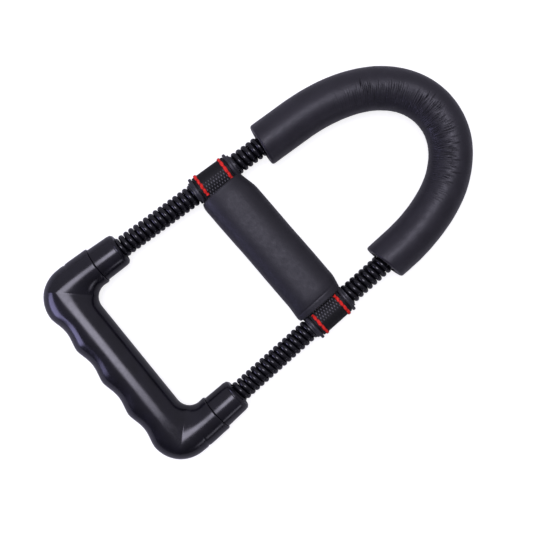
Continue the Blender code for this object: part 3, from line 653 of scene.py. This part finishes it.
def corner_outline(share):
    """Point on the handle's outer outline, from the arm (0) round the corner to the grip (1)."""
    top_y = GRIP_INNER_Y + INNER_FILLET
    centre = np.array((HANDLE_HALF_WIDTH - OUTER_CORNER, GRIP_OUTER_Y + OUTER_CORNER))
    low_x = INNER_CORNER_X - INNER_FILLET
    down = top_y - centre[1]
    bend = OUTER_CORNER * math.pi / 2
    travel = share * (down + bend + centre[0] - low_x)
    if travel < down:
        widen = (HANDLE_HALF_WIDTH - half_spacing(top_y) - ARM_RADIUS) * (1 - travel / down) ** 2
        widen += GATE_NICK_DEPTH * math.exp(-(((top_y - travel - GATE_NICK_Y) / GATE_NICK_WIDTH) ** 2))
        return np.array((HANDLE_HALF_WIDTH - widen, top_y - travel))
    if travel < down + bend:
        angle = (travel - down) / OUTER_CORNER
        return centre + OUTER_CORNER * np.array((math.cos(angle), -math.sin(angle)))
    x = centre[0] - (travel - down - bend)
    return np.array((x, GRIP_OUTER_Y + float(finger_wave(x))))


def corner_section(share):
    """Inner point, ridge, outer point and half height of a section round the corner."""
    centre = np.array((INNER_CORNER_X - INNER_FILLET, GRIP_INNER_Y + INNER_FILLET))
    angle = share * math.pi / 2
    inner = centre + INNER_FILLET * np.array((math.cos(angle), -math.sin(angle)))
    start = np.array((half_spacing(centre[1]), centre[1]))
    cross = np.array((half_spacing(GRIP_AXIS_Y), GRIP_AXIS_Y))
    end = np.array((centre[0], GRIP_AXIS_Y))
    if share < 0.5:
        ridge = start + (cross - start) * 2 * share
    else:
        ridge = cross + (end - cross) * (2 * share - 1)
    height = ARM_RADIUS + (GRIP_HALF_HEIGHT - ARM_RADIUS) * share * share * (3 - 2 * share)
    return inner, ridge, corner_outline(share), height


def arm_section(distance, inset=0.0):
    """Round section of the arm at a distance down the spring's axis from the collar's face."""
    origin, out, _, up = spring_frame(1, COLLAR_FACE_Y)
    spot = (origin - up * distance)[:2]
    radius = ARM_RADIUS - inset
    return spot - out[:2] * radius, spot, spot + out[:2] * radius, radius


def handle_sections():
    """Sections of the +X half, from the rounded rim under the collar to the middle of the grip."""
    rim = COLLAR_LENGTH + 0.05 * MM
    sections = []
    for angle in np.linspace(0, math.pi / 2, 7):
        drop = HANDLE_EDGE * (1 - math.sin(angle))
        sections.append(arm_section(rim + HANDLE_EDGE * (1 - math.cos(angle)), drop))
    first = corner_section(0.0)
    last = sections[-1]
    for share in np.linspace(0, 1, 9)[1:-1]:
        sections.append(tuple(a + (b - a) * share for a, b in zip(last, first)))
    sections += [corner_section(share) for share in np.linspace(0, 1, 97)]
    low_x = INNER_CORNER_X - INNER_FILLET
    for x in np.linspace(low_x, 0, 81)[1:]:
        outer = np.array((x, GRIP_OUTER_Y + float(finger_wave(x))))
        sections.append((np.array((x, GRIP_INNER_Y)), np.array((x, GRIP_AXIS_Y)), outer, GRIP_HALF_HEIGHT))
    return sections


def half_ring(section, steps=56):
    """Ring of one half's wall: over its outer face, then back along its inner face."""
    inner, ridge, outer, height = section
    ring = []
    inner_steps = 10
    outer_pass = (0.0, np.linspace(-90, 90, steps + 1))
    inner_pass = (HANDLE_WALL, np.linspace(90, -90, inner_steps + 1))
    for inset, angles in (outer_pass, inner_pass):
        for angle in np.radians(angles):
            arm = (inner if angle < 0 else outer) - ridge
            reach = np.linalg.norm(arm)
            share = abs(math.sin(angle)) * (1 - inset / reach)
            rise = max((height - inset) * math.cos(angle), 0.0)
            edge = PARTING_EDGE if inset == 0.0 else 0.0
            rolled = max(edge - rise, 0.0) ** 2 / (2 * PARTING_EDGE)
            spot = ridge + arm * (share - rolled / reach)
            ring.append((spot[0], spot[1], PARTING_HALF_GAP + rise * (1 - PARTING_HALF_GAP / height)))
    return ring


def make_handle_half(label, facing):
    """One moulded half: facing is 1 for the upper half and -1 for the lower half."""
    right = np.array([half_ring(section) for section in handle_sections()])
    left = right[-2::-1] * np.array((-1, 1, 1))
    rows = np.vstack((right, left))
    rows[..., 2] = MID_Z + facing * rows[..., 2]
    half = build(f"handle_{label}_half", [shell(rows, capped=True)], GLOSS, sharp=math.radians(50))
    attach(half, "handle")
    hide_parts(f"grip_shell_{label}")


# ---- spools, webbing and stitches ----

def make_spool(label, side, y):
    hub = SPOOL_HALF_LENGTH + SPOOL_HUB_LENGTH
    seat = SPOOL_HALF_LENGTH - SPOOL_FLANGE
    upper = [
        (SPOOL_BORE, hub, 0.3 * MM),
        (SPOOL_HUB_RADIUS, hub, 0.4 * MM),
        (SPOOL_HUB_RADIUS, SPOOL_HALF_LENGTH, 0.3 * MM),
        (SPOOL_FLANGE_RADIUS, SPOOL_HALF_LENGTH, 0.9 * MM),
        (SPOOL_FLANGE_RADIUS, seat, 0.9 * MM),
        (SPOOL_BODY_RADIUS, seat, 0.2 * MM),
    ]
    outline = rounded(upper + [(radius, -height, ease) for radius, height, ease in reversed(upper)])
    rows = to_world(turned(outline, 96), spring_frame(side, y))
    spool = build(f"spool_{label}_moulding", [shell(rows, looped=True)], SATIN)
    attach(spool, f"slider_{label}")
    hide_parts(f"spool_{label}")


WEB_CENTRE_RADIUS = SPOOL_BODY_RADIUS + WEB_FIT + WEB_THICKNESS / 2
STRAP_HALF_STACK = WEB_THICKNESS + GAP


def loop_line(y, lift=0.0, step=0.2 * MM):
    """Webbing's centre line round the spool in the (out, third) plane, moved outwards by lift.

    Returns points at even steps, their outward normals and the distance from the loop's outermost point.
    """
    tail = half_spacing(y) - PAD_LENGTH / 2 + WEB_TAIL_IN_PAD
    reach = math.hypot(tail, STRAP_HALF_STACK)
    lean = math.acos(WEB_CENTRE_RADIUS / reach) - math.atan2(STRAP_HALF_STACK, tail)
    start = math.pi - lean
    angle = np.linspace(start, -start, 400)
    wrap = WEB_CENTRE_RADIUS * np.stack((np.cos(angle), np.sin(angle)), axis=-1)
    ends = np.array(((-tail, STRAP_HALF_STACK),)), np.array(((-tail, -STRAP_HALF_STACK),))
    line = np.vstack((ends[0], wrap, ends[1]))
    length = np.concatenate(([0], np.cumsum(np.linalg.norm(np.diff(line, axis=0), axis=1))))
    marks = np.linspace(0, length[-1], int(length[-1] / step))
    spots = np.stack([np.interp(marks, length, line[:, i]) for i in range(2)], axis=-1)
    heading = np.gradient(spots, axis=0)
    heading /= np.linalg.norm(heading, axis=1)[:, None]
    normal = np.stack((-heading[:, 1], heading[:, 0]), axis=-1)
    return spots + normal * lift, normal, marks - length[-1] / 2


def weave(along, across):
    """Height of the weave from 0 to 1: staggered rows of yarns standing proud, plain at the edges."""
    dots = np.cos(TAU * along / (4.4 * MM)) * np.cos(TAU * across / (2.0 * MM))
    ribs = 0.25 * np.cos(TAU * across / (1.0 * MM))
    plain = smoothstep(np.abs(across), 8.6 * MM, 9.4 * MM)
    edge = 0.40 + 0.10 * np.cos(TAU * across / (0.8 * MM)) + 0.05 * np.cos(TAU * along / (0.8 * MM))
    return np.clip((0.5 + 0.42 * dots + 0.12 * ribs) * (1 - plain) + edge * plain, 0, 1)


def band_rows(spots, normal, marks, axes, relief):
    """Rings of a woven band whose middle runs along spots, with woven relief on both faces."""
    across = np.linspace(-WEB_WIDTH / 2, WEB_WIDTH / 2, 126)
    height = weave(marks[:, None], across[None])
    ease = np.sqrt(np.clip(1 - (np.abs(across) / (WEB_WIDTH / 2)) ** 24, 0, 1))
    outer = (WEB_THICKNESS / 2 - relief + relief * height) * ease
    inner_across = across[::-6]
    inner = np.broadcast_to(-WEB_THICKNESS / 2 * ease[::-6], (len(marks), len(inner_across)))
    lift = np.hstack((outer, inner))
    place = np.concatenate((across, inner_across))
    flat = spots[:, None] + normal[:, None] * lift[..., None]
    rows = np.concatenate((flat, np.broadcast_to(place[None, :, None], (*lift.shape, 1))), axis=-1)
    # Weave height on the outer face, kept for the painted yarn highlight; the inner face gets none.
    highlight_shade_mask = np.hstack((height, np.full(inner.shape, 0.3)))
    return to_world(rows, axes), highlight_shade_mask


def make_webbing(label, side, y):
    spots, normal, marks = loop_line(y)
    rows, highlight_shade_mask = band_rows(spots, normal, marks, spring_frame(side, y), 0.14 * MM)
    # The painted yarn highlight is weaker where the loop wraps round the spool's end.
    highlight_shade_mask *= 0.6 + 0.4 * smoothstep(np.abs(marks), 9 * MM, 15 * MM)[:, None]
    loop = build(f"webbing_{label}", [shell(rows, capped=True)], WEB_CLOTH, math.radians(80), highlight_shade_mask)
    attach(loop, f"slider_{label}")
    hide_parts(f"webbing_loop_{label}")


def make_stitch_row(label, part, side, y, row):
    """Heavy three-ply thread of uneven, slightly oblique stitches that lie close to the webbing."""
    rng = np.random.default_rng(31 + 7 * row + 3 * side)
    lift = WEB_THICKNESS / 2
    spots, normal, marks = loop_line(y, lift, step=0.12 * MM)
    end = half_spacing(y) - PAD_LENGTH / 2 - 1.2 * MM
    shown = spots[:, 0] > -end
    spots, normal, marks = spots[shown], normal[shown], marks[shown]
    stitch = marks / STITCH_PITCH + 0.10 * np.sin(marks / (2.9 * MM) + row)
    number = np.floor(stitch).astype(int)
    share = stitch - number
    first = number.min()
    size = rng.uniform(0.82, 1.12, number.max() - first + 1)[number - first]
    lean = rng.uniform(0.25, 0.75, number.max() - first + 1)[number - first]
    swell = size * (0.30 + 0.70 * np.abs(np.sin(math.pi * share)) ** 0.55)
    rise = (0.02 + 0.20 * swell) * MM
    middle = spots + normal * rise[:, None]
    height = row * STITCH_ROW_SPACING / 2 + lean * (share - 0.5) * MM
    twist = TAU * marks / (3.0 * MM)
    shells = []
    highlight_shade_mask = []
    for ply in range(3):
        angle = twist + ply * TAU / 3
        swing = (0.20 + 0.30 * swell) * MM
        flat = middle + normal * (swing * np.sin(angle) * 0.5)[:, None]
        line = np.column_stack((flat, height + swing * 1.3 * np.cos(angle)))
        radius = (0.26 + 0.22 * swell) * MM
        shells.append(tube(to_world(line, spring_frame(side, y)), radius, 10))
        # Lift of each ply and swell of the stitch, kept for the painted shade in the thread's hollows.
        highlight_shade_mask.append(np.repeat(swell * (0.65 + 0.35 * np.sin(angle)), 10))
    thread = build(f"stitches_{label}_{part}", shells, THREAD, math.radians(70), np.concatenate(highlight_shade_mask))
    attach(thread, f"slider_{label}")
    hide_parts(f"stitch_row_{label}_{part}")


# ---- cross pad ----

def pad_frame():
    """Origin and axes of the pad: first axis along it, second across it towards the bend, third up."""
    origin = np.array((LEFT_SPOOL + RIGHT_SPOOL) / 2)
    along = np.array(RIGHT_SPOOL - LEFT_SPOOL)
    along /= np.linalg.norm(along)
    third = np.array((0.0, 0.0, 1.0))
    return origin, along, np.cross(third, along), third


def superellipse(half_width, half_height, angle, power):
    """Point of a squared oval in the direction of each angle's parameter."""
    wide = np.sign(np.cos(angle)) * np.abs(np.cos(angle)) ** (2 / power)
    high = np.sign(np.sin(angle)) * np.abs(np.sin(angle)) ** (2 / power)
    return half_width * wide, half_height * high


def pad_end(wide, high):
    """Distance from the pad's middle to its end: hollowed round the spool, less so at its corners."""
    spring = half_spacing((LEFT_SPOOL.y + RIGHT_SPOOL.y) / 2)
    corner = smoothstep(np.abs(wide), PAD_CORNER_START, PAD_CORNER_END)
    room = PAD_SPOOL_ROOM + (PAD_HUB_ROOM - PAD_SPOOL_ROOM) * corner
    ply_shade = spring - np.sqrt(np.clip(room**2 - high**2, 0, None))
    return np.minimum(PAD_LENGTH / 2, np.where(np.abs(high) < room, ply_shade, PAD_LENGTH))


def make_pad():
    """Soft foam pad: an oval tube, slightly slack, that closes down towards the spools."""
    around = 144
    angle = (np.arange(around) + 0.5) / around * TAU
    wide, high = superellipse(PAD_WIDTH / 2, PAD_HEIGHT / 2, angle, 2.4)
    bore_wide, bore_high = superellipse(PAD_BORE_WIDTH / 2, PAD_BORE_HALF_HEIGHT, angle, 5)
    share = np.linspace(-1, 1, 260)[:, None]
    reach = pad_end(wide, high)
    edge = 0.9 * MM
    along = share * (reach - edge)
    from_left = (along + PAD_LENGTH / 2)
    from_right = (PAD_LENGTH / 2 - along)
    upper = np.clip(wide / (PAD_WIDTH / 2), 0, 1)
    lower = np.clip(-wide / (PAD_WIDTH / 2), 0, 1)
    drop = 2.6 * MM * (1 - smoothstep(from_left, -2 * MM, 16 * MM)) * upper
    drop = drop + 2.0 * MM * (1 - smoothstep(from_right, -2 * MM, 11 * MM)) * upper
    drop = drop - 0.9 * MM * (1 - smoothstep(from_right, 0, 14 * MM)) * lower
    drop = drop + 0.5 * MM * (1 - smoothstep(from_left, 0, 5 * MM)) * lower
    flat = 1.1 * MM * (1 - smoothstep(np.minimum(from_left, from_right), -1 * MM, 10 * MM))
    crease = 0.28 * MM * np.exp(-(((from_right - 4.4 * MM - 0.6 * MM * np.cos(angle)) / (0.55 * MM)) ** 2))
    crease = crease * smoothstep(high, 0, 6 * MM)
    y = wide - np.sign(wide) * drop
    z = high * (1 - flat / (PAD_HEIGHT / 2)) - np.sign(high) * crease
    outer = np.stack((along, y, z), axis=-1)
    normal = np.stack((np.zeros(around), np.cos(angle), np.sin(angle)), axis=-1)
    rise = 0.16 * MM * waves(outer, 34 * MM, 8) + 0.05 * MM * waves(outer, 9 * MM, 9)
    outer = outer + normal * rise[..., None]
    rows = [outer]
    for sign, ring in ((1, outer[-1]), (-1, outer[0])):
        end = []
        for a in np.linspace(0, math.pi / 2, 6)[1:]:
            inward = edge * (1 - math.cos(a))
            centre_pull = 1 - inward / (PAD_HEIGHT / 2)
            spot = ring * np.array((1, centre_pull, centre_pull))
            spot[:, 0] = ring[:, 0] + sign * edge * math.sin(a)
            end.append(spot)
        mouth = np.stack((np.zeros(around), bore_wide, bore_high), axis=-1)
        mouth[:, 0] = sign * pad_end(bore_wide, bore_high)
        rim = end[-1]
        for share_in in np.linspace(0, 1, 7)[1:]:
            end.append(rim + (mouth - rim) * share_in)
        rows.append(np.array(end if sign > 0 else end[::-1]))
    inner = []
    for share_in in np.linspace(0.96, -0.96, 48):
        ring = np.stack((np.full(around, share_in * PAD_LENGTH / 2 * 0.93), bore_wide, bore_high), axis=-1)
        inner.append(ring)
    everything = np.vstack((rows[0], rows[1], np.array(inner), rows[2]))
    world = to_world(everything, pad_frame())
    pad = build("pad_foam_tube", [shell(world, looped=True)], PAD_SKIN, sharp=math.radians(60))
    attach(pad, "cross_pad")
    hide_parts("pad_foam")


def make_strap():
    """Middle strap of the same webbing, between the two layers of each loop."""
    origin, along, across, third = pad_frame()
    length = PAD_LENGTH - WEB_TAIL_IN_PAD
    marks = np.linspace(-length / 2, length / 2, 260)
    spots = np.stack((marks, np.zeros(260)), axis=-1)
    normal = np.tile(np.array((0.0, 1.0)), (260, 1))
    rows, highlight_shade_mask = band_rows(spots, normal, marks, (origin, along, third, across), 0.16 * MM)
    strap = build("pad_inner_strap", [shell(rows, capped=True)], WEB_CLOTH, math.radians(80), highlight_shade_mask)
    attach(strap, "cross_pad")
    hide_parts("pad_strap")


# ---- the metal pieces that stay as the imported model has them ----

def dress_metal():
    for name in ("forearm_bar", "bar_plug_left", "bar_plug_right", "handle_core_rod"):
        node = frame["nodes"][name]
        node.data.materials.clear()
        node.data.materials.append(STEEL)


# ---- floor, light and camera ----

FLOOR_GLOW = 0.80
FLOOR_GLOW_ON_OBJECT = 0.0
WORLD_DARK_SIDE = 0.10
WORLD_BRIGHT_SIDE = 0.55
COOL_LIGHT = (0.85, 0.82, 1.0)
BLUE_LIGHT = (0.58, 0.55, 1.0)


def make_floor():
    mesh = bpy.data.meshes.new("floor")
    size = 3.0
    corners = [(-size, -size, 0), (size, -size, 0), (size, size, 0), (-size, size, 0)]
    mesh.from_pydata(corners, [], [(0, 1, 2, 3)])
    floor = bpy.data.objects.new("floor", mesh)
    bpy.context.scene.collection.objects.link(floor)
    floor.location.z = -0.3 * MM
    material = bpy.data.materials.new("pale_floor")
    material.use_nodes = True
    tree = material.node_tree
    shader = tree.nodes["Principled BSDF"]
    shader.inputs["Base Color"].default_value = (0.50, 0.50, 0.50, 1)
    shader.inputs["Roughness"].default_value = 0.9
    shader.inputs["Specular IOR Level"].default_value = 0.0
    shader.inputs["Emission Color"].default_value = (1, 1, 1, 1)
    path = tree.nodes.new("ShaderNodeLightPath")
    glow = tree.nodes.new("ShaderNodeMapRange")
    glow.inputs["To Min"].default_value = FLOOR_GLOW_ON_OBJECT
    glow.inputs["To Max"].default_value = FLOOR_GLOW
    tree.links.new(path.outputs["Is Camera Ray"], glow.inputs["Value"])
    tree.links.new(glow.outputs["Result"], shader.inputs["Emission Strength"])
    mesh.materials.append(material)


def soften(data, core):
    """Fades an area light towards its edges; core is the share of its width that stays bright."""
    data.use_nodes = True
    tree = data.node_tree
    emission = tree.nodes["Emission"]
    place = tree.nodes.new("ShaderNodeSeparateXYZ")
    tree.links.new(tree.nodes.new("ShaderNodeNewGeometry").outputs["Parametric"], place.inputs[0])
    fades = []
    for axis in ("X", "Y"):
        centre = tree.nodes.new("ShaderNodeMath")
        centre.operation = "SUBTRACT"
        centre.inputs[1].default_value = 0.5
        tree.links.new(place.outputs[axis], centre.inputs[0])
        away = tree.nodes.new("ShaderNodeMath")
        away.operation = "ABSOLUTE"
        tree.links.new(centre.outputs[0], away.inputs[0])
        fade = tree.nodes.new("ShaderNodeMapRange")
        fade.interpolation_type = "SMOOTHSTEP"
        fade.inputs["From Min"].default_value = core / 2
        fade.inputs["From Max"].default_value = 0.5
        fade.inputs["To Min"].default_value = 1.0
        fade.inputs["To Max"].default_value = 0.0
        tree.links.new(away.outputs[0], fade.inputs["Value"])
        fades.append(fade.outputs["Result"])
    both = tree.nodes.new("ShaderNodeMath")
    both.operation = "MULTIPLY"
    tree.links.new(fades[0], both.inputs[0])
    tree.links.new(fades[1], both.inputs[1])
    tree.links.new(both.outputs[0], emission.inputs["Strength"])


def make_softbox(name, direction, distance, size, radiance, colour=(1, 1, 1), core=0.5, aim_at=(0, 0, 0)):
    """Area light in a direction from a point, with a given radiance at its middle."""
    data = bpy.data.lights.new(name, "AREA")
    data.shape = "RECTANGLE"
    data.size, data.size_y = size
    data.energy = radiance * math.pi * size[0] * size[1]
    data.color = colour
    soften(data, core)
    lamp = bpy.data.objects.new(name, data)
    aim = Vector(direction).normalized()
    lamp.location = Vector(aim_at) + aim * distance
    upright = Vector((0, 1, 0)) if abs(aim.z) > 0.9 else Vector((0, 0, 1))
    across = upright.cross(aim).normalized()
    lamp.rotation_euler = Matrix((across, aim.cross(across), aim)).transposed().to_euler()
    bpy.context.scene.collection.objects.link(lamp)
    return lamp


def make_light():
    grip = (0, GRIP_AXIS_Y, MID_Z)
    make_softbox("key_softbox", (-0.13, -0.01, 1.0), 1.2, (0.66, 0.98), 8.0, COOL_LIGHT, 0.35)
    make_softbox("low_softbox", (-0.140, -0.326, 0.118), 0.37, (0.24, 0.23), 6.0, BLUE_LIGHT, 0.6, grip)
    make_softbox("right_softbox", (1.0, -0.08, 0.33), 1.2, (0.5, 0.30), 2.2, COOL_LIGHT, 0.4)
    world = bpy.data.worlds.new("studio")
    world.use_nodes = True
    tree = world.node_tree
    back = tree.nodes["Background"]
    place = tree.nodes.new("ShaderNodeTexCoord")
    facing = tree.nodes.new("ShaderNodeVectorMath")
    facing.operation = "DOT_PRODUCT"
    facing.inputs[1].default_value = Vector((-0.62, 0.50, 0.60)).normalized()
    tree.links.new(place.outputs["Generated"], facing.inputs[0])
    glow = tree.nodes.new("ShaderNodeMapRange")
    glow.inputs["From Min"].default_value = -0.4
    glow.inputs["From Max"].default_value = 0.9
    glow.inputs["To Min"].default_value = WORLD_DARK_SIDE
    glow.inputs["To Max"].default_value = WORLD_BRIGHT_SIDE
    tree.links.new(facing.outputs["Value"], glow.inputs["Value"])
    path = tree.nodes.new("ShaderNodeLightPath")
    mix = tree.nodes.new("ShaderNodeMix")
    mix.data_type = "FLOAT"
    mix.inputs[3].default_value = 0.93
    tree.links.new(path.outputs["Is Camera Ray"], mix.inputs["Factor"])
    tree.links.new(glow.outputs["Result"], mix.inputs[2])
    back.inputs["Color"].default_value = (*COOL_LIGHT, 1)
    tree.links.new(mix.outputs[0], back.inputs["Strength"])
    bpy.context.scene.world = world


def make_camera():
    data = bpy.data.cameras.new("camera")
    data.sensor_width = 36.0
    data.lens = 64.9
    data.clip_start = 0.01
    data.clip_end = 20.0
    camera = bpy.data.objects.new("camera", data)
    camera.location = (8.39 * MM, -16.81 * MM, MID_Z + 640 * MM)
    camera.rotation_euler = (0, 0, math.radians(51.0))
    bpy.context.scene.collection.objects.link(camera)
    bpy.context.scene.camera = camera


make_camera()
make_floor()
make_light()
bpy.context.scene.view_settings.view_transform = "Standard"

make_sleeve()
make_pad()
make_strap()
for LABEL, SIDE, SPOOL in (("left", -1, LEFT_SPOOL), ("right", 1, RIGHT_SPOOL)):
    make_spring(LABEL, SIDE)
    make_collar(LABEL, SIDE)
    make_spool(LABEL, SIDE, SPOOL.y)
    make_webbing(LABEL, SIDE, SPOOL.y)
    make_stitch_row(LABEL, "lower", SIDE, SPOOL.y, -1)
    make_stitch_row(LABEL, "upper", SIDE, SPOOL.y, 1)
make_handle_half("front", 1)
make_handle_half("back", -1)
dress_metal()
